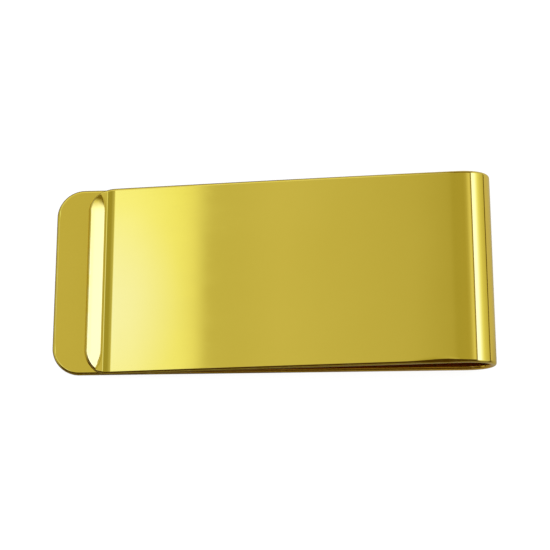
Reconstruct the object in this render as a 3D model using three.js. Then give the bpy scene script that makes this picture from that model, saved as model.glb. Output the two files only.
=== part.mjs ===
// Money clip: one strip of polished spring metal, folded end over end so that its two
// leaves pinch banknotes between them. The strip is bent only along lines across its width.
//
// Millimetres. X runs along the clip towards the fold, Y across the strip, and Z up from
// the face of the back leaf that the clip lies on. The origin is on that face, under the
// middle of the clip.
//
// The strip is described the way it is bent: by the line along the middle of its
// thickness, as a run of stretches that each have a length and turn through an angle.

import * as THREE from 'three';

// Driving dimensions
const CLIP_LENGTH = 54.7; // free end of the back leaf to the nose of the fold
const STRIP_WIDTH = 24;
const STRIP_THICKNESS = 0.8;
const BACK_CORNER_RADIUS = 3.5; // rounded corners of the back leaf's free end
const LIP_CORNER_RADIUS = 3.1; // and of the lip at the other end of the strip
const FRONT_TAPER = 0.12; // how much narrower the front leaf's tip is, on each side

const FOLD_LENGTH = 13.1;
const FOLD_TURN = 184.38; // degrees, so the front leaf leans back towards the back leaf
const LEAF_LENGTH = 41.15;
const LEAF_TURN = 1.3; // the front leaf is very slightly bowed outwards
const CREASE_LENGTH = 0.9;
const CREASE_TURN = 10.2; // steepens the strip just before it meets the back leaf
const RAMP_LENGTH = 0.25;
const PINCH_RADIUS = 1.1; // the tight bend that lies along the back leaf
const PINCH_TURN = -36;
const LIP_LENGTH = 1.93; // flares up and away, to let a banknote in
const LIP_TURN = -7;

const CUT_GAP = 0.1; // between neighbouring lengths of the strip
const STEP = 0.05; // spacing of the points that follow the strip's middle line

const radians = THREE.MathUtils.degToRad;

// The turn of a stretch up to the fraction t of its length. A pressed arc turns evenly.
// A sprung fold turns most at its middle and runs out straight at both ends.
const evenTurn = (t) => t;
const easedTurn = (t) => t - Math.sin(2 * Math.PI * t) / (2 * Math.PI);

const BENDS = [
  { length: FOLD_LENGTH, turn: radians(FOLD_TURN), share: easedTurn },
  { length: LEAF_LENGTH, turn: radians(LEAF_TURN), share: evenTurn },
  { length: CREASE_LENGTH, turn: radians(CREASE_TURN), share: easedTurn },
  { length: RAMP_LENGTH, turn: 0, share: evenTurn },
  { length: PINCH_RADIUS * radians(-PINCH_TURN), turn: radians(PINCH_TURN), share: evenTurn },
  { length: LIP_LENGTH, turn: radians(LIP_TURN), share: evenTurn },
];

// Heading of the middle line, in radians from +X towards +Z, at the distance s from the
// start of the fold. Before the fold the strip lies flat.
function headingAt(s) {
  let start = 0;
  let heading = 0;
  for (const bend of BENDS) {
    if (s <= start) break;
    heading += bend.turn * bend.share(Math.min((s - start) / bend.length, 1));
    start += bend.length;
  }
  return heading;
}

// Place of the middle line at the distance s from the start of the fold, relative to that
// start.
function offsetAt(s) {
  const steps = Math.ceil(Math.abs(s) / STEP);
  const offset = new THREE.Vector2();
  for (let i = 0; i < steps; i++) {
    const heading = headingAt((s * (i + 0.5)) / steps);
    offset.x += (Math.cos(heading) * s) / steps;
    offset.y += (Math.sin(heading) * s) / steps;
  }
  return offset;
}

// The nose of the fold is where the middle line points straight up.
function findNose() {
  let low = 0;
  let high = FOLD_LENGTH;
  while (high - low > 1e-6) {
    const middle = (low + high) / 2;
    if (headingAt(middle) < Math.PI / 2) low = middle;
    else high = middle;
  }
  return low;
}

const NOSE = findNose();
const FOLD_START_X = CLIP_LENGTH / 2 - STRIP_THICKNESS / 2 - offsetAt(NOSE).x;
const STRIP_START = -CLIP_LENGTH / 2 - FOLD_START_X;
const FOLD_END = FOLD_LENGTH;
const LEAF_END = FOLD_END + LEAF_LENGTH;
const STRIP_END = BENDS.reduce((sum, bend) => sum + bend.length, 0);

// How far a rounded corner of that radius cuts into the strip's width, at a distance from
// the strip's end.
function cornerCut(radius, toEnd) {
  const inset = Math.max(radius - toEnd, 0);
  return radius - Math.sqrt(Math.max(radius ** 2 - inset ** 2, 0));
}

// Half the strip's width at s, with the rounded corners of its two ends.
function halfWidthAt(s) {
  const taper = FRONT_TAPER * THREE.MathUtils.clamp((s - FOLD_END) / LEAF_LENGTH, 0, 1);
  const backCut = cornerCut(BACK_CORNER_RADIUS, s - STRIP_START);
  const lipCut = cornerCut(LIP_CORNER_RADIUS, STRIP_END - s);
  return STRIP_WIDTH / 2 - taper - backCut - lipCut;
}

// Distances from a rounded end, closer together where the corner turns fastest.
function cornerStations(radius, count) {
  return evenStations(0, Math.PI / 2, count).map((angle) => radius * (1 - Math.cos(angle)));
}

function evenStations(from, to, count) {
  return Array.from({ length: count + 1 }, (_, i) => from + ((to - from) * i) / count);
}

// A length of the strip as a closed solid: a box with one slice for each gap between
// stations, formed along the middle line.
function stripLength(name, stations, material) {
  const slices = stations.length - 1;
  const geometry = new THREE.BoxGeometry(1, 1, 1, slices, 1, 1);
  const position = geometry.attributes.position;
  const places = stations.map((s) => ({
    heading: headingAt(s),
    offset: offsetAt(s),
    halfWidth: halfWidthAt(s),
  }));
  for (let i = 0; i < position.count; i++) {
    const slice = Math.round((position.getX(i) + 0.5) * slices);
    const { heading, offset, halfWidth } = places[slice];
    const across = 2 * position.getY(i) * halfWidth;
    const outwards = position.getZ(i) * STRIP_THICKNESS;
    position.setXYZ(
      i,
      FOLD_START_X + offset.x - Math.sin(heading) * outwards,
      across,
      STRIP_THICKNESS / 2 + offset.y + Math.cos(heading) * outwards,
    );
  }
  geometry.computeVertexNormals();
  const mesh = new THREE.Mesh(geometry, material);
  mesh.name = name;
  return mesh;
}

function gold(color, roughness) {
  return new THREE.MeshStandardMaterial({ color, roughness, metalness: 1 });
}

const half = CUT_GAP / 2;
const clip = new THREE.Group();

// Lies flat against the outside of the folded notes and reaches past the front leaf.
clip.add(
  stripLength(
    'back_leaf',
    [...cornerStations(BACK_CORNER_RADIUS, 10).map((d) => STRIP_START + d), -half],
    gold(0xc2ac3a, 0.12),
  ),
);

// The fold, as the two quarter turns either side of its nose, where the clip flexes.
clip.add(
  stripLength(
    'fold_lower_half',
    evenStations(half, NOSE - half, 14),
    gold(0xc8b046, 0.12),
  ),
);
clip.add(
  stripLength(
    'fold_upper_half',
    evenStations(NOSE + half, FOLD_END - half, 14),
    gold(0xc8b046, 0.12),
  ),
);

// The long polished face that shows when the clip is worn.
clip.add(
  stripLength(
    'front_leaf',
    evenStations(FOLD_END + half, LEAF_END - half, 6),
    gold(0xd8c455, 0.1),
  ),
);

// Crease, pinch line and flared lip at the front leaf's free end.
clip.add(
  stripLength(
    'pinch_lip',
    [
      ...evenStations(LEAF_END + half, STRIP_END - LIP_CORNER_RADIUS, 8).slice(0, -1),
      ...cornerStations(LIP_CORNER_RADIUS, 18).map((d) => STRIP_END - d).reverse(),
    ],
    gold(0xf0e28c, 0.1),
  ),
);

export default clip;
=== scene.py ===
"""Money clip: the looks of one strip of polished gold-plated spring metal, folded end over
end. Every visible piece is a length of that strip, formed along the same bends as the CAD
model, with the rounded edges and the polished finish that the CAD solids leave out."""

import math

import bpy
import numpy as np
from mathutils import Matrix, Vector


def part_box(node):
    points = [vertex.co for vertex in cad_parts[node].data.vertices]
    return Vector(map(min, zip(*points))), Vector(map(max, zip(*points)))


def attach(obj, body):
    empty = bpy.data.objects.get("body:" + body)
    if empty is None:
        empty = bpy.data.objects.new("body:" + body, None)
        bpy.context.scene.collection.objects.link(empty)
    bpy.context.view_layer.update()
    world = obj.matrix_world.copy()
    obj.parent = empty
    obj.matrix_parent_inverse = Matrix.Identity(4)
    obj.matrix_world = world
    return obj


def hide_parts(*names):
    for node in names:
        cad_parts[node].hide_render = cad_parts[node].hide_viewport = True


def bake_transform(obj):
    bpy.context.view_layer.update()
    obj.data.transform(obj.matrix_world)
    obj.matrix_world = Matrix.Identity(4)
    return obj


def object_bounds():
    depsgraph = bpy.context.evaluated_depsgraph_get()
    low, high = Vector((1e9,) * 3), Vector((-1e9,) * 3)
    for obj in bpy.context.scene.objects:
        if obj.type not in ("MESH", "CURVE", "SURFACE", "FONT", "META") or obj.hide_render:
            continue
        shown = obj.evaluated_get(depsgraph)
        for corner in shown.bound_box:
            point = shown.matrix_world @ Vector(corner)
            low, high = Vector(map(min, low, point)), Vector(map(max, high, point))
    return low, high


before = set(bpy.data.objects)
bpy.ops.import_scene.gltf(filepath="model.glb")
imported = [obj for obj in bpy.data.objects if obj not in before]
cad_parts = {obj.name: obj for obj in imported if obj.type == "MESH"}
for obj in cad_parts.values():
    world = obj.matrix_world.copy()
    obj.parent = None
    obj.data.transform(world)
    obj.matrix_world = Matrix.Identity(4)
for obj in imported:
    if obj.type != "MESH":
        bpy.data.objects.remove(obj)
cad_low, cad_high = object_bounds()
MM = 0.001

# ---------------------------------------------------------------- the strip's dimensions
# Millimetres, in the strip's own terms: s runs along the middle of its thickness, from 0
# at the start of the fold, and is negative on the back leaf. y runs across the strip, and
# is negative on the side near the camera.

THICKNESS = (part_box("back_leaf")[1].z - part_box("back_leaf")[0].z) / MM
HALF_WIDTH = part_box("back_leaf")[1].y / MM
CLIP_END_X = cad_low.x / MM
NOSE_X = cad_high.x / MM
BACK_CORNER_RADIUS = 3.5
LIP_CORNER_RADIUS = 3.1
FRONT_SKEW = 0.16  # the strip is folded very slightly askew, so its far end sits this far over

EASED, EVEN = "eased", "even"
PINCH_TURN = -36
PINCH_RADIUS = 1.1
BENDS = [  # length, turn in degrees, and how the turn is shared out along the length
    (13.1, 184.38, EASED),  # the fold
    (41.15, 1.3, EVEN),  # the front leaf, slightly bowed
    (0.9, 10.2, EASED),  # the crease
    (0.25, 0, EVEN),
    (PINCH_RADIUS * math.radians(-PINCH_TURN), PINCH_TURN, EVEN),
    (1.93, -7, EVEN),  # the flared lip
]
FOLD_END = BENDS[0][0]
LEAF_END = FOLD_END + BENDS[1][0]
STRIP_END = sum(length for length, _, _ in BENDS)
PINCH_START = STRIP_END - BENDS[-1][0] - BENDS[-2][0]
ABOVE_LEVEL = sum(turn for _, turn, _ in BENDS[:-2]) - 180
PINCH_BOTTOM = PINCH_START + BENDS[-2][0] * ABOVE_LEVEL / -PINCH_TURN

PINCH_FLAT = 1.15  # the pinch line flattens out at the strip's two sides, over this length
PINCH_FLAT_REACH = 2.9
CORNER_PRESS = 0.01  # slope by which the lip's far corner is pressed down
CORNER_CURL = 0.03  # how fast that slope grows towards the lip's end
CORNER_PRESS_REACH = 3.5

EDGE_RADIUS = 0.36  # the blanked edges are tumbled and polished round
EDGE_DUB = 0.5  # how much wider that rounding is where the polishing wheel meets the fold
EDGE_DUB_AT = FOLD_END + 0.9
EDGE_DUB_REACH = 2.0
LIP_EDGE_WIDTH = 0.18  # the lip's edges are rounded more tightly
LIP_EDGE_REACH = 0.6  # and the change to that takes this length

WEAR_REACH = 0.45  # how far in from the cut edges the polish shows handling
UNBUFFED_FROM = -38  # the buffing wheel doesn't reach into the gap past here; there the plate is also drawn darker and more orange, as painted shade between the leaves
UNBUFFED_REACH = 8
BACK_END_PAINTED_SHADE_LENGTH = 12  # painted shade: the back leaf's free end is drawn a little darker over this length
BACK_END_PAINTED_SHADE_FADE = 6


# ---------------------------------------------------------------- the strip's middle line


def heading(s):
    """Direction of the middle line at each s, in radians from +X towards +Z."""
    s = np.asarray(s, float)
    total = np.zeros_like(s)
    start = 0.0
    for length, turn, sharing in BENDS:
        t = np.clip((s - start) / length, 0, 1)
        if sharing == EASED:
            t = t - np.sin(2 * np.pi * t) / (2 * np.pi)
        total += math.radians(turn) * t
        start += length
    return total


PATH_STEP = 0.005
path_s = np.arange(0, STRIP_END + 2 * PATH_STEP, PATH_STEP)
mid_headings = heading(path_s[:-1] + PATH_STEP / 2)
path_x = np.concatenate([[0], np.cumsum(np.cos(mid_headings) * PATH_STEP)])
path_z = np.concatenate([[0], np.cumsum(np.sin(mid_headings) * PATH_STEP)])
nose = int(np.argmin(np.abs(heading(path_s[path_s < FOLD_END]) - math.pi / 2)))
FOLD_START_X = NOSE_X - THICKNESS / 2 - path_x[nose]
STRIP_START = CLIP_END_X - FOLD_START_X


def formed(s, y):
    """Place (x and z, in millimetres) and heading of the bent strip's middle at each s and y."""
    flat = PINCH_FLAT * np.clip(1 - (HALF_WIDTH - np.abs(y)) / PINCH_FLAT_REACH, 0, 1) ** 2
    flat = np.clip(s - PINCH_BOTTOM, 0, flat)
    s = s - flat
    x = FOLD_START_X - flat + np.where(s < 0, s, np.interp(s, path_s, path_x))
    z = THICKNESS / 2 + np.interp(s, path_s, path_z)
    return x, z, heading(s)


def askew(s):
    """How far over, towards the near side, the strip's middle has drifted at each s."""
    return FRONT_SKEW * np.clip(s / LEAF_END, 0, 1)


def corner_drop(s, y):
    """How far down the lip's far corner is pressed."""
    across = np.clip(1 - (HALF_WIDTH - y) / CORNER_PRESS_REACH, 0, 1)
    along = np.maximum(s - PINCH_BOTTOM, 0)
    return (CORNER_PRESS * along + CORNER_CURL * along**2) * across**2


# ---------------------------------------------------------------- the strip's outline


def corner_cut(radius, to_end):
    """How far a rounded corner cuts into the width, at a distance from the strip's end."""
    inset = np.maximum(radius - to_end, 0)
    return radius - np.sqrt(np.maximum(radius**2 - inset**2, 0))


def half_width(s):
    """Half the strip's width at each s, with the rounded corners of its two ends."""
    back_cut = corner_cut(BACK_CORNER_RADIUS, s - STRIP_START)
    lip_cut = corner_cut(LIP_CORNER_RADIUS, STRIP_END - s)
    return HALF_WIDTH - back_cut - lip_cut


def to_outline(s, y):
    """Distance of each point of the flat strip from the strip's cut edge."""
    to_side = HALF_WIDTH - np.abs(y)
    distance = to_side
    ends = ((s - STRIP_START, BACK_CORNER_RADIUS), (STRIP_END - s, LIP_CORNER_RADIUS))
    for to_end, radius in ends:
        in_corner = (to_end < radius) & (to_side < radius)
        to_arc = radius - np.hypot(radius - to_end, radius - to_side)
        distance = np.minimum(distance, np.where(in_corner, to_arc, to_end))
    return np.maximum(distance, 0)


def half_thickness(s, y):
    """Half the strip's thickness at each point, less near its rounded edges."""
    by_fold = np.exp(-(((s - EDGE_DUB_AT) / EDGE_DUB_REACH) ** 2))
    on_lip = np.clip((s - PINCH_BOTTOM) / LIP_EDGE_REACH, 0, 1)
    width = EDGE_RADIUS + EDGE_DUB * by_fold * (y < 0)
    width = width + (LIP_EDGE_WIDTH - EDGE_RADIUS) * on_lip
    inset = np.maximum(1 - to_outline(s, y) / width, 0)
    return THICKNESS / 2 - EDGE_RADIUS * (1 - np.sqrt(1 - inset**2))


# ---------------------------------------------------------------- meshes


def curving(radius, count):
    """Distances from an edge, closer together where a rounding of that radius turns most."""
    return radius * (1 - np.cos(np.linspace(0, math.pi / 2, count + 1)))


EDGE_MARGIN = 0.03  # the mesh stays fine this far past the rounding
EDGE_STEPS = np.append(
    curving(EDGE_RADIUS, 9),
    EDGE_MARGIN + np.linspace(EDGE_RADIUS, EDGE_RADIUS + EDGE_DUB, 7),
)


def stations_to_end(corner_radius):
    """Distances from a rounded end of the strip, for its corners and for its edge."""
    return np.unique(np.round(np.append(curving(corner_radius, 28), EDGE_STEPS), 4))


def columns(s, across):
    """Places across the strip at each s, crowded together at the two rounded edges."""
    width = half_width(s)[:, None]
    left = -width + EDGE_STEPS
    inner = width - EDGE_STEPS[-1]
    flat = inner * np.linspace(-1, 1, across + 1)[None, 1:-1]
    return np.hstack([left, flat, -left[:, ::-1]])


def skin_points(s, y):
    """Points of the strip's two skins, in metres: the one inside the clip, then the outer."""
    x, z, turn = formed(s, y)
    half = half_thickness(s, y)
    skins = []
    for side in (1, -1):
        off = side * half + corner_drop(s, y)
        skin = np.stack([x - np.sin(turn) * off, y - askew(s), z + np.cos(turn) * off], -1)
        skins.append(skin.reshape(-1, 3))
    return np.vstack(skins) * MM


def skin_faces(rows, cols):
    """Faces of the two skins, and of the band that joins them round their outline."""
    inner = np.arange(rows * cols).reshape(rows, cols)
    outer = inner + rows * cols
    faces = []
    for i in range(rows - 1):
        for j in range(cols - 1):
            faces.append((inner[i, j], inner[i + 1, j], inner[i + 1, j + 1], inner[i, j + 1]))
            faces.append((outer[i, j], outer[i, j + 1], outer[i + 1, j + 1], outer[i + 1, j]))
        faces.append((inner[i, 0], outer[i, 0], outer[i + 1, 0], inner[i + 1, 0]))
        faces.append((inner[i + 1, -1], outer[i + 1, -1], outer[i, -1], inner[i, -1]))
    for j in range(cols - 1):
        faces.append((inner[0, j], inner[0, j + 1], outer[0, j + 1], outer[0, j]))
        faces.append((inner[-1, j + 1], inner[-1, j], outer[-1, j], outer[-1, j + 1]))
    return [tuple(map(int, face)) for face in faces]


def is_seam(s):
    """Whether a length that ends at s meets another there, not the end of the strip."""
    tolerance = 0.01
    return STRIP_START + tolerance < s < STRIP_END - tolerance


def mark_seams(mesh, s, rows, cols):
    """Sharp edges round the flat ends where this length meets the next one."""
    seam_rows = [row for row, at in ((0, s[0]), (rows - 1, s[-1])) if is_seam(at)]
    seam_points = set()
    for row in seam_rows:
        for skin in (0, rows * cols):
            seam_points.update(range(skin + row * cols, skin + (row + 1) * cols))
    sharp = mesh.attributes.new("sharp_edge", "BOOLEAN", "EDGE")
    flags = [all(v in seam_points for v in edge.vertices) for edge in mesh.edges]
    sharp.data.foreach_set("value", flags)


def point_values(mesh, name, values):
    """A value at each point of the mesh, for the material to read."""
    layer = mesh.attributes.new(name, "FLOAT", "POINT")
    layer.data.foreach_set("value", values)


def mark_finish(mesh, s, y):
    """How handled the strip is at each point, how short of buffing and painted with shade in the
    gap, and how much painted shade darkens the back leaf's free end.
    """
    handled = np.clip(1 - to_outline(s, y) / WEAR_REACH, 0, 1).reshape(-1)
    # rougher where the buffing wheel didn't reach, and painted shade on the inner skin deeper in
    # the gap
    unbuffed_and_gap_shade = np.clip((s - UNBUFFED_FROM) / UNBUFFED_REACH, 0, 1).reshape(-1)
    # painted shade at the back leaf's free end, fading out inwards
    from_end = s - STRIP_START
    back_end_painted_shade = np.clip((BACK_END_PAINTED_SHADE_LENGTH - from_end) / BACK_END_PAINTED_SHADE_FADE, 0, 1).reshape(-1)
    point_values(mesh, "handled", np.tile(handled, 2))
    point_values(mesh, "unbuffed_and_gap_shade", np.append(unbuffed_and_gap_shade, 0 * unbuffed_and_gap_shade))
    point_values(mesh, "back_end_painted_shade", np.tile(back_end_painted_shade, 2))


def strip_length(name, stations, material, across=14):
    """A length of the strip as one closed mesh: two skins, joined round their outline."""
    s = np.asarray(stations, float)
    y = columns(s, across)
    rows, cols = y.shape
    s_grid = np.repeat(s[:, None], cols, 1)
    mesh = bpy.data.meshes.new(name)
    mesh.from_pydata(skin_points(s_grid, y).tolist(), [], skin_faces(rows, cols))
    mesh.shade_smooth()
    mark_seams(mesh, s, rows, cols)
    mark_finish(mesh, s_grid, y)
    mesh.materials.append(material)
    obj = bpy.data.objects.new(name, mesh)
    bpy.context.scene.collection.objects.link(obj)
    return obj


# ---------------------------------------------------------------- shader nodes
# Each function makes one kind of node. A value it is given is either a constant, which is set
# on the node's socket, or the output of another node, which is linked to it.


def new_node(tree, kind, **settings):
    node = tree.nodes.new(kind)
    for name, value in settings.items():
        setattr(node, name, value)
    return node


def give(tree, socket, value):
    if isinstance(value, bpy.types.NodeSocket):
        tree.links.new(value, socket)
    else:
        socket.default_value = value


def noise(tree, vector, scale, detail=3):
    node = new_node(tree, "ShaderNodeTexNoise")
    give(tree, node.inputs["Vector"], vector)
    give(tree, node.inputs["Scale"], scale)
    give(tree, node.inputs["Detail"], detail)
    give(tree, node.inputs["Roughness"], 0.5)
    return node.outputs["Fac"]


def stretched(tree, vector, stretch):
    node = new_node(tree, "ShaderNodeMapping")
    give(tree, node.inputs["Vector"], vector)
    give(tree, node.inputs["Scale"], stretch)
    return node.outputs["Vector"]


def remap(tree, value, low, high, to_low, to_high):
    """The value moved from one range into another, and held at the ends of it."""
    node = new_node(tree, "ShaderNodeMapRange")
    give(tree, node.inputs["Value"], value)
    give(tree, node.inputs["From Min"], low)
    give(tree, node.inputs["From Max"], high)
    give(tree, node.inputs["To Min"], to_low)
    give(tree, node.inputs["To Max"], to_high)
    return node.outputs["Result"]


def calculate(tree, operation, *values):
    node = new_node(tree, "ShaderNodeMath", operation=operation)
    for socket, value in zip(node.inputs, values):
        give(tree, socket, value)
    return node.outputs["Value"]


def mix(tree, factor, a, b, blend="MIX"):
    """Colour a, turning into colour b as the factor goes from 0 to 1."""
    node = new_node(tree, "ShaderNodeMix", data_type="RGBA", blend_type=blend)
    give(tree, node.inputs["Factor"], factor)
    give(tree, node.inputs["A"], a)
    give(tree, node.inputs["B"], b)
    return node.outputs["Result"]


def mesh_value(tree, name):
    return new_node(tree, "ShaderNodeAttribute", attribute_name=name).outputs["Fac"]


def coordinates(tree, kind):
    return new_node(tree, "ShaderNodeTexCoord").outputs[kind]


def separated(tree, vector):
    node = new_node(tree, "ShaderNodeSeparateXYZ")
    give(tree, node.inputs["Vector"], vector)
    return node.outputs


def new_material(name):
    material = bpy.data.materials.new(name)
    material.use_nodes = True
    tree = material.node_tree
    return material, tree, tree.nodes["Principled BSDF"].inputs


# ---------------------------------------------------------------- material

PLATE = (0.91, 0.735, 0.115, 1)  # the plating's tone drifts between these two
PALER_PLATE = (0.95, 0.775, 0.135, 1)
WORN_PLATE = (0.93, 0.79, 0.22, 1)
# painted shade: the inside of the gap is drawn in this darker, more orange plate
GAP_PAINTED_SHADE_PLATE = (0.87, 0.58, 0.08, 1)
# painted shade: the back leaf's free end is multiplied by this tint
BACK_END_PAINTED_SHADE_TINT = (0.94, 0.92, 0.84, 1)

# The scale of a noise is in cells per metre, and X is along the strip. A range is the part of
# a noise over which its marks go from nothing to their full strength.
TONE_SCALE = 90
WAVE_SCALE = 160
PATCH_SCALE = 900
PATCH_RANGE = (0.42, 0.62)
WIPE_SCALE = (60, 220, 220)
WIPE_RANGE = (0.35, 0.75)
HAIRLINE_SCALE = (150, 6000, 6000)
HAIRLINE_GLOSS_RANGE = (0.62, 0.8)
HAIRLINE_RELIEF_RANGE = (0.6, 0.85)

POLISH_ROUGHNESS = (0.04, 0.07)  # from untouched to wiped
HAIRLINE_ROUGHNESS = 0.05  # this and the next two add to it
WEAR_ROUGHNESS = 0.08
UNBUFFED_ROUGHNESS = 0.07

WAVE_HEIGHT = 0.00001  # metres
HAIRLINE_DEPTH = 0.02  # as a share of the waves' height
RELIEF_STRENGTH = 0.2


def plate_colour(tree, where, wear):
    """The gold plate, worn through handling, with painted shade that makes it darker and more
    orange in the gap and darker at the back leaf's free end.
    """
    plate = mix(tree, noise(tree, where, TONE_SCALE), PLATE, PALER_PLATE)
    worn = mix(tree, wear, plate, WORN_PLATE)
    # painted shade: darker, more orange plate deeper in the gap
    duller = mix(tree, mesh_value(tree, "unbuffed_and_gap_shade"), worn, GAP_PAINTED_SHADE_PLATE)
    # painted shade: the back leaf's free end is drawn darker
    return mix(tree, mesh_value(tree, "back_end_painted_shade"), duller, BACK_END_PAINTED_SHADE_TINT, "MULTIPLY")


def plate_roughness(tree, where, wear, hairlines):
    """A mirror polish, a little rougher where it was wiped, scratched, handled or not buffed
    inside the gap.
    """
    wiped = noise(tree, stretched(tree, where, WIPE_SCALE), 1.0, 4)
    rough = remap(tree, wiped, *WIPE_RANGE, *POLISH_ROUGHNESS)
    additions = (
        remap(tree, hairlines, *HAIRLINE_GLOSS_RANGE, 0, HAIRLINE_ROUGHNESS),
        remap(tree, wear, 0, 1, 0, WEAR_ROUGHNESS),
        remap(tree, mesh_value(tree, "unbuffed_and_gap_shade"), 0, 1, 0, UNBUFFED_ROUGHNESS),
    )
    for addition in additions:
        rough = calculate(tree, "ADD", rough, addition)
    return rough


def plate_relief(tree, where, hairlines):
    """Very shallow waves in the metal, and the hairlines' own depth."""
    waves = remap(tree, noise(tree, where, WAVE_SCALE, 1), 0, 1, 0, 1.0)
    scratches = remap(tree, hairlines, *HAIRLINE_RELIEF_RANGE, 0, -HAIRLINE_DEPTH)
    bump = new_node(tree, "ShaderNodeBump")
    give(tree, bump.inputs["Strength"], RELIEF_STRENGTH)
    give(tree, bump.inputs["Distance"], WAVE_HEIGHT)
    give(tree, bump.inputs["Height"], calculate(tree, "ADD", waves, scratches))
    return bump.outputs["Normal"]


def polished_gold():
    """Gold plate over a mirror polish, with faint waves, wiping marks and hairlines."""
    material, tree, sockets = new_material("polished_gold")
    where = coordinates(tree, "Object")
    patches = remap(tree, noise(tree, where, PATCH_SCALE, 4), *PATCH_RANGE, 0, 1)
    wear = calculate(tree, "MULTIPLY", mesh_value(tree, "handled"), patches)
    hairlines = noise(tree, stretched(tree, where, HAIRLINE_SCALE), 1.0, 2)
    give(tree, sockets["Base Color"], plate_colour(tree, where, wear))
    give(tree, sockets["Roughness"], plate_roughness(tree, where, wear, hairlines))
    give(tree, sockets["Normal"], plate_relief(tree, where, hairlines))
    sockets["Metallic"].default_value = 1.0
    return material


# ---------------------------------------------------------------- pieces

gold = polished_gold()

back_leaf = strip_length(
    "back_leaf_polished",
    np.append(
        STRIP_START + stations_to_end(BACK_CORNER_RADIUS),
        np.linspace(STRIP_START + BACK_CORNER_RADIUS, 0, 24)[1:],
    ),
    gold,
)
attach(back_leaf, "back")
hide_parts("back_leaf")

fold = strip_length("sprung_fold", np.linspace(0, FOLD_END, 161), gold)
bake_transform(fold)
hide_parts("fold_lower_half", "fold_upper_half")

front_leaf = strip_length("front_leaf_polished", np.linspace(FOLD_END, LEAF_END, 49), gold)
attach(front_leaf, "front")
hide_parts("front_leaf")

LIP_CORNER_START = STRIP_END - LIP_CORNER_RADIUS
FINE_END = STRIP_END - 1.2  # the stations stay close together through the pinch, up to here
lip_stations = np.append(
    np.linspace(LEAF_END, LIP_CORNER_START, 24)[:-1],
    STRIP_END - stations_to_end(LIP_CORNER_RADIUS)[::-1],
)
bend_stations = np.linspace(LIP_CORNER_START, FINE_END, 48)
pinch_lip = strip_length(
    "pinch_lip_polished",
    np.unique(np.round(np.append(lip_stations, bend_stations), 3)),
    gold,
    across=60,
)
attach(pinch_lip, "front")
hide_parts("pinch_lip")

# ---------------------------------------------------------------- camera

CAMERA_TILT = 0.2602  # radians from straight down, towards the clip's near side
CAMERA_YAW = 0.0624  # and towards its fold
CAMERA_ROLL = -0.0013
CAMERA_DISTANCE = 0.184477
CAMERA_TARGET = Vector((0.0004406, 0.0005548, 0))
CAMERA_LENS = 96.18  # millimetres, on a 36 mm sensor


def studio_camera():
    data = bpy.data.cameras.new("camera")
    data.sensor_width = 36
    data.lens = CAMERA_LENS
    data.clip_start = 0.01
    camera = bpy.data.objects.new("camera", data)
    turned = (
        Matrix.Rotation(CAMERA_YAW, 4, "Y")
        @ Matrix.Rotation(CAMERA_TILT, 4, "X")
        @ Matrix.Rotation(CAMERA_ROLL, 4, "Z")
    )
    backwards = turned.col[2].xyz
    camera.matrix_world = Matrix.Translation(CAMERA_TARGET + backwards * CAMERA_DISTANCE) @ turned
    bpy.context.scene.collection.objects.link(camera)
    bpy.context.scene.camera = camera


# ---------------------------------------------------------------- floor

FLOOR_HALF_SIZE = 2.0  # metres
FLOOR_GAP = 0.00002  # under the clip, so that the two faces don't coincide
FLOOR_COLOUR = (0.2, 0.2, 0.2, 1)
FLOOR_GLOW = 0.8  # keeps the floor white for the camera
TABLE_PAINTED_SHADOW = (0.05, 0.03, 0.01, 1)  # painted shadow and painted light: the colours of the floor in the clip's reflections
TABLE_PAINTED_LIGHT = (0.36, 0.33, 0.30, 1)
TABLE_FADE_Y = (-0.028, -0.006)  # metres, the painted shadow on the table turning into painted light
TABLE_FADE_X = (0.0, 0.02)
TABLE_LEFT_SHARE = 0.15  # the painted light that is left on the table's left side


def table_with_painted_light(tree):
    """The floor as the clip reflects it, with painted shadow at its near and left sides and a
    painted pool of light beyond.
    """
    place = separated(tree, coordinates(tree, "Object"))
    lit_far = remap(tree, place["Y"], *TABLE_FADE_Y, 0, 1)
    lit_right = remap(tree, place["X"], *TABLE_FADE_X, TABLE_LEFT_SHARE, 1)
    lit = calculate(tree, "MULTIPLY", lit_far, lit_right)
    return mix(tree, lit, TABLE_PAINTED_SHADOW, TABLE_PAINTED_LIGHT)


def pale_floor():
    material, tree, sockets = new_material("pale_floor")
    path = new_node(tree, "ShaderNodeLightPath").outputs
    # glossy rays see the table with its painted shadow and painted pool of light
    colour = mix(tree, path["Is Glossy Ray"], FLOOR_COLOUR, table_with_painted_light(tree))
    glow = calculate(tree, "MULTIPLY", path["Is Camera Ray"], FLOOR_GLOW)
    give(tree, sockets["Base Color"], colour)
    give(tree, sockets["Emission Strength"], glow)
    sockets["Emission Color"].default_value = (1, 1, 1, 1)
    sockets["Roughness"].default_value = 0.9
    sockets["Specular IOR Level"].default_value = 0.0
    return material


def studio_floor():
    mesh = bpy.data.meshes.new("floor")
    size = FLOOR_HALF_SIZE
    corners = [(-size, -size, 0), (size, -size, 0), (size, size, 0), (-size, size, 0)]
    mesh.from_pydata(corners, [], [(0, 1, 2, 3)])
    mesh.materials.append(pale_floor())
    floor = bpy.data.objects.new("floor", mesh)
    floor.location.z = -FLOOR_GAP
    bpy.context.scene.collection.objects.link(floor)


# ---------------------------------------------------------------- studio light
# A mirror shows what is around it, so the studio is described by the light that comes from
# each direction. X, Y and Z below are the parts of a direction's unit vector.

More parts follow.
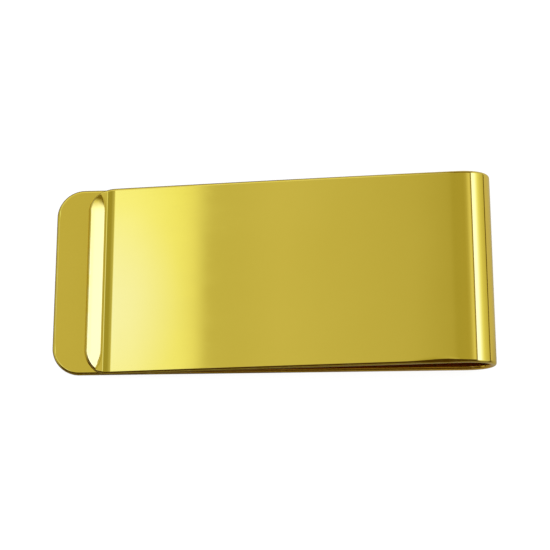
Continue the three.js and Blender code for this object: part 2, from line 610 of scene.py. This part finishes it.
# The light across the clip, as degrees from straight overhead towards the fold: white panels
# on both sides of a dark camera hood.
STUDIO_LIGHT = [
    (-89, (0.16, 0.12, 0.04)),
    (-84, (0.16, 0.12, 0.04)),
    (-82, (0.55, 0.53, 0.40)),
    (-60, (0.70, 0.70, 0.60)),
    (-48, (0.40, 0.37, 0.18)),
    (-41, (0.36, 0.34, 0.14)),
    (-33, (0.48, 0.475, 0.35)),
    (-27.5, (0.515, 0.50, 0.33)),
    (-24.5, (0.92, 1.00, 1.2)),
    (-23, (1.02, 1.16, 1.95)),
    (-20.5, (1.01, 1.14, 1.75)),
    (-18.3, (0.95, 1.04, 1.10)),
    (-17.6, (0.88, 0.93, 0.88)),
    (-16.95, (0.575, 0.56, 0.40)),
    (-15.5, (0.58, 0.56, 0.41)),
    (-13.5, (0.61, 0.585, 0.45)),
    (-7, (0.53, 0.50, 0.34)),
    (-4, (0.42, 0.385, 0.18)),
    (8, (0.43, 0.39, 0.18)),
    (13, (0.48, 0.44, 0.25)),
    (21, (0.74, 0.71, 0.60)),
    (25, (0.66, 0.62, 0.48)),
    (26, (0.26, 0.21, 0.07)),
    (28.5, (0.26, 0.21, 0.07)),
    (29.5, (1.30, 1.50, 4.8)),
    (38, (1.30, 1.50, 4.8)),
    (45, (1.03, 1.17, 2.4)),
    (53, (0.86, 0.90, 0.85)),
    (62, (0.70, 0.69, 0.52)),
    (83.5, (0.54, 0.50, 0.30)),
    (84.5, (0.12, 0.09, 0.01)),
    (90, (0.16, 0.12, 0.04)),
]
PANEL_BLUE = (0.6, 1.1)  # how blue that light is outside the panels, and well inside them

WARM_TINT = (1, 0.99, 0.76, 1)  # the panels are warmer at their far ends
WARM_FADE_Y = (0.24, 0.33)
COOL_TINT = (1, 1.02, 1.6, 1)  # and one of them has a cool spot
COOL_SPOT_DEGREES = (-21.5, -18)  # its middle, and its edge towards overhead
COOL_SPOT_Y = 0.24
COOL_SPOT_HALF_Y = 0.065

LOW_WALL = (0.42, 0.40, 0.28, 1)  # the walls past the panels' two ends
HIGH_WALL = (0.80, 0.79, 0.70, 1)
WALL_HEIGHT_Z = 0.6
WALL_FADE_Y = (0.34, 0.56)

DARK_CARDS = [  # side, degrees from overhead to the top, middle and half width in X, colour
    (-1, 9, -0.2, 0.6, (0.06, 0.03, 0.004, 1)),
    (1, 25, 0.18, 0.22, (0.20, 0.15, 0.03, 1)),
]
CARD_TOP_FADE = 6  # degrees
CARD_FOOT = (80, 84)  # degrees from overhead
CARD_SIDE_FADE = 0.08

ROOM_STRENGTH = 1.65  # of the even white light that the camera and the floor are given


def light_ramp(tree, angle):
    """STUDIO_LIGHT as a colour ramp that runs from one side of the horizon to the other."""
    node = new_node(tree, "ShaderNodeValToRGB")
    give(tree, node.inputs["Fac"], remap(tree, angle, -math.pi / 2, math.pi / 2, 0, 1))
    stops = node.color_ramp.elements
    stops.remove(stops[0])
    for index, (degrees, light) in enumerate(STUDIO_LIGHT):
        position = degrees / 180 + 0.5
        stop = stops[0] if index == 0 else stops.new(position)
        stop.position = position
        stop.color = (*light, 1)
    return node.outputs["Color"]


def panel_glow(tree, light, direction, angle):
    """The ramp's light, with the panels warmer at their far ends and a cool spot in one."""
    bright = new_node(tree, "ShaderNodeSeparateColor")
    give(tree, bright.inputs["Color"], light)
    in_panel = remap(tree, bright.outputs["Blue"], *PANEL_BLUE, 0, 1)
    far = remap(tree, direction["Y"], *WARM_FADE_Y, 0, 1)
    warm = calculate(tree, "MULTIPLY", in_panel, far)
    warmed = mix(tree, warm, light, WARM_TINT, "MULTIPLY")

    middle, edge = COOL_SPOT_DEGREES
    along = remap(tree, angle, math.radians(middle), math.radians(edge), 0, 1)
    off_middle = calculate(tree, "SUBTRACT", direction["Y"], COOL_SPOT_Y)
    across = calculate(tree, "DIVIDE", off_middle, COOL_SPOT_HALF_Y)
    along_squared = calculate(tree, "MULTIPLY", along, along)
    across_squared = calculate(tree, "MULTIPLY", across, across)
    off_spot = calculate(tree, "ADD", along_squared, across_squared)
    cool = calculate(tree, "MULTIPLY", in_panel, remap(tree, off_spot, 0, 1, 1, 0))
    return mix(tree, cool, warmed, COOL_TINT, "MULTIPLY")


def with_walls(tree, light, direction):
    """The light, with the paler and darker walls past the panels' two ends."""
    sideways = calculate(tree, "ABSOLUTE", direction["Y"])
    ends = remap(tree, sideways, *WALL_FADE_Y, 0, 1)
    high = remap(tree, direction["Z"], 0, WALL_HEIGHT_Z, 0, 1)
    return mix(tree, ends, light, mix(tree, high, LOW_WALL, HIGH_WALL))


def with_card(tree, light, direction, side, top, middle, half, colour):
    """The light, with a dark card beyond one long side of the clip."""
    outwards = calculate(tree, "MULTIPLY", direction["Y"], side)
    tilt = calculate(tree, "ARCTAN2", outwards, direction["Z"])
    off_middle = calculate(tree, "SUBTRACT", direction["X"], middle)
    sideways = calculate(tree, "ABSOLUTE", off_middle)
    top_edge = math.radians(top), math.radians(top + CARD_TOP_FADE)
    foot_edge = [math.radians(degrees) for degrees in CARD_FOOT]
    below_top = remap(tree, tilt, *top_edge, 0, 1)
    above_foot = remap(tree, tilt, *foot_edge, 1, 0)
    across = remap(tree, sideways, half, half + CARD_SIDE_FADE, 1, 0)
    within_height = calculate(tree, "MULTIPLY", below_top, above_foot)
    return mix(tree, calculate(tree, "MULTIPLY", within_height, across), light, colour)


def background(tree, colour, strength=1.0):
    node = new_node(tree, "ShaderNodeBackground")
    give(tree, node.inputs["Color"], colour)
    give(tree, node.inputs["Strength"], strength)
    return node.outputs["Background"]


def studio_world():
    """The studio in the clip's reflections, and even white light for everything else."""
    world = bpy.data.worlds.new("studio")
    bpy.context.scene.world = world
    world.use_nodes = True
    tree = world.node_tree
    tree.nodes.clear()
    direction = separated(tree, coordinates(tree, "Generated"))
    angle = calculate(tree, "ARCTAN2", direction["X"], direction["Z"])
    light = panel_glow(tree, light_ramp(tree, angle), direction, angle)
    light = with_walls(tree, light, direction)
    for card in DARK_CARDS:
        light = with_card(tree, light, direction, *card)

    choose = new_node(tree, "ShaderNodeMixShader")
    path = new_node(tree, "ShaderNodeLightPath").outputs
    give(tree, choose.inputs["Fac"], path["Is Glossy Ray"])
    give(tree, choose.inputs[1], background(tree, (1, 1, 1, 1), ROOM_STRENGTH))
    give(tree, choose.inputs[2], background(tree, light))
    output = new_node(tree, "ShaderNodeOutputWorld")
    give(tree, output.inputs["Surface"], choose.outputs["Shader"])


BOUNCES = 32  # light is reflected to and fro many times between the leaves

studio_camera()
studio_floor()
studio_world()
bpy.context.scene.view_settings.view_transform = "Standard"
bpy.context.scene.cycles.max_bounces = BOUNCES
bpy.context.scene.cycles.glossy_bounces = BOUNCES
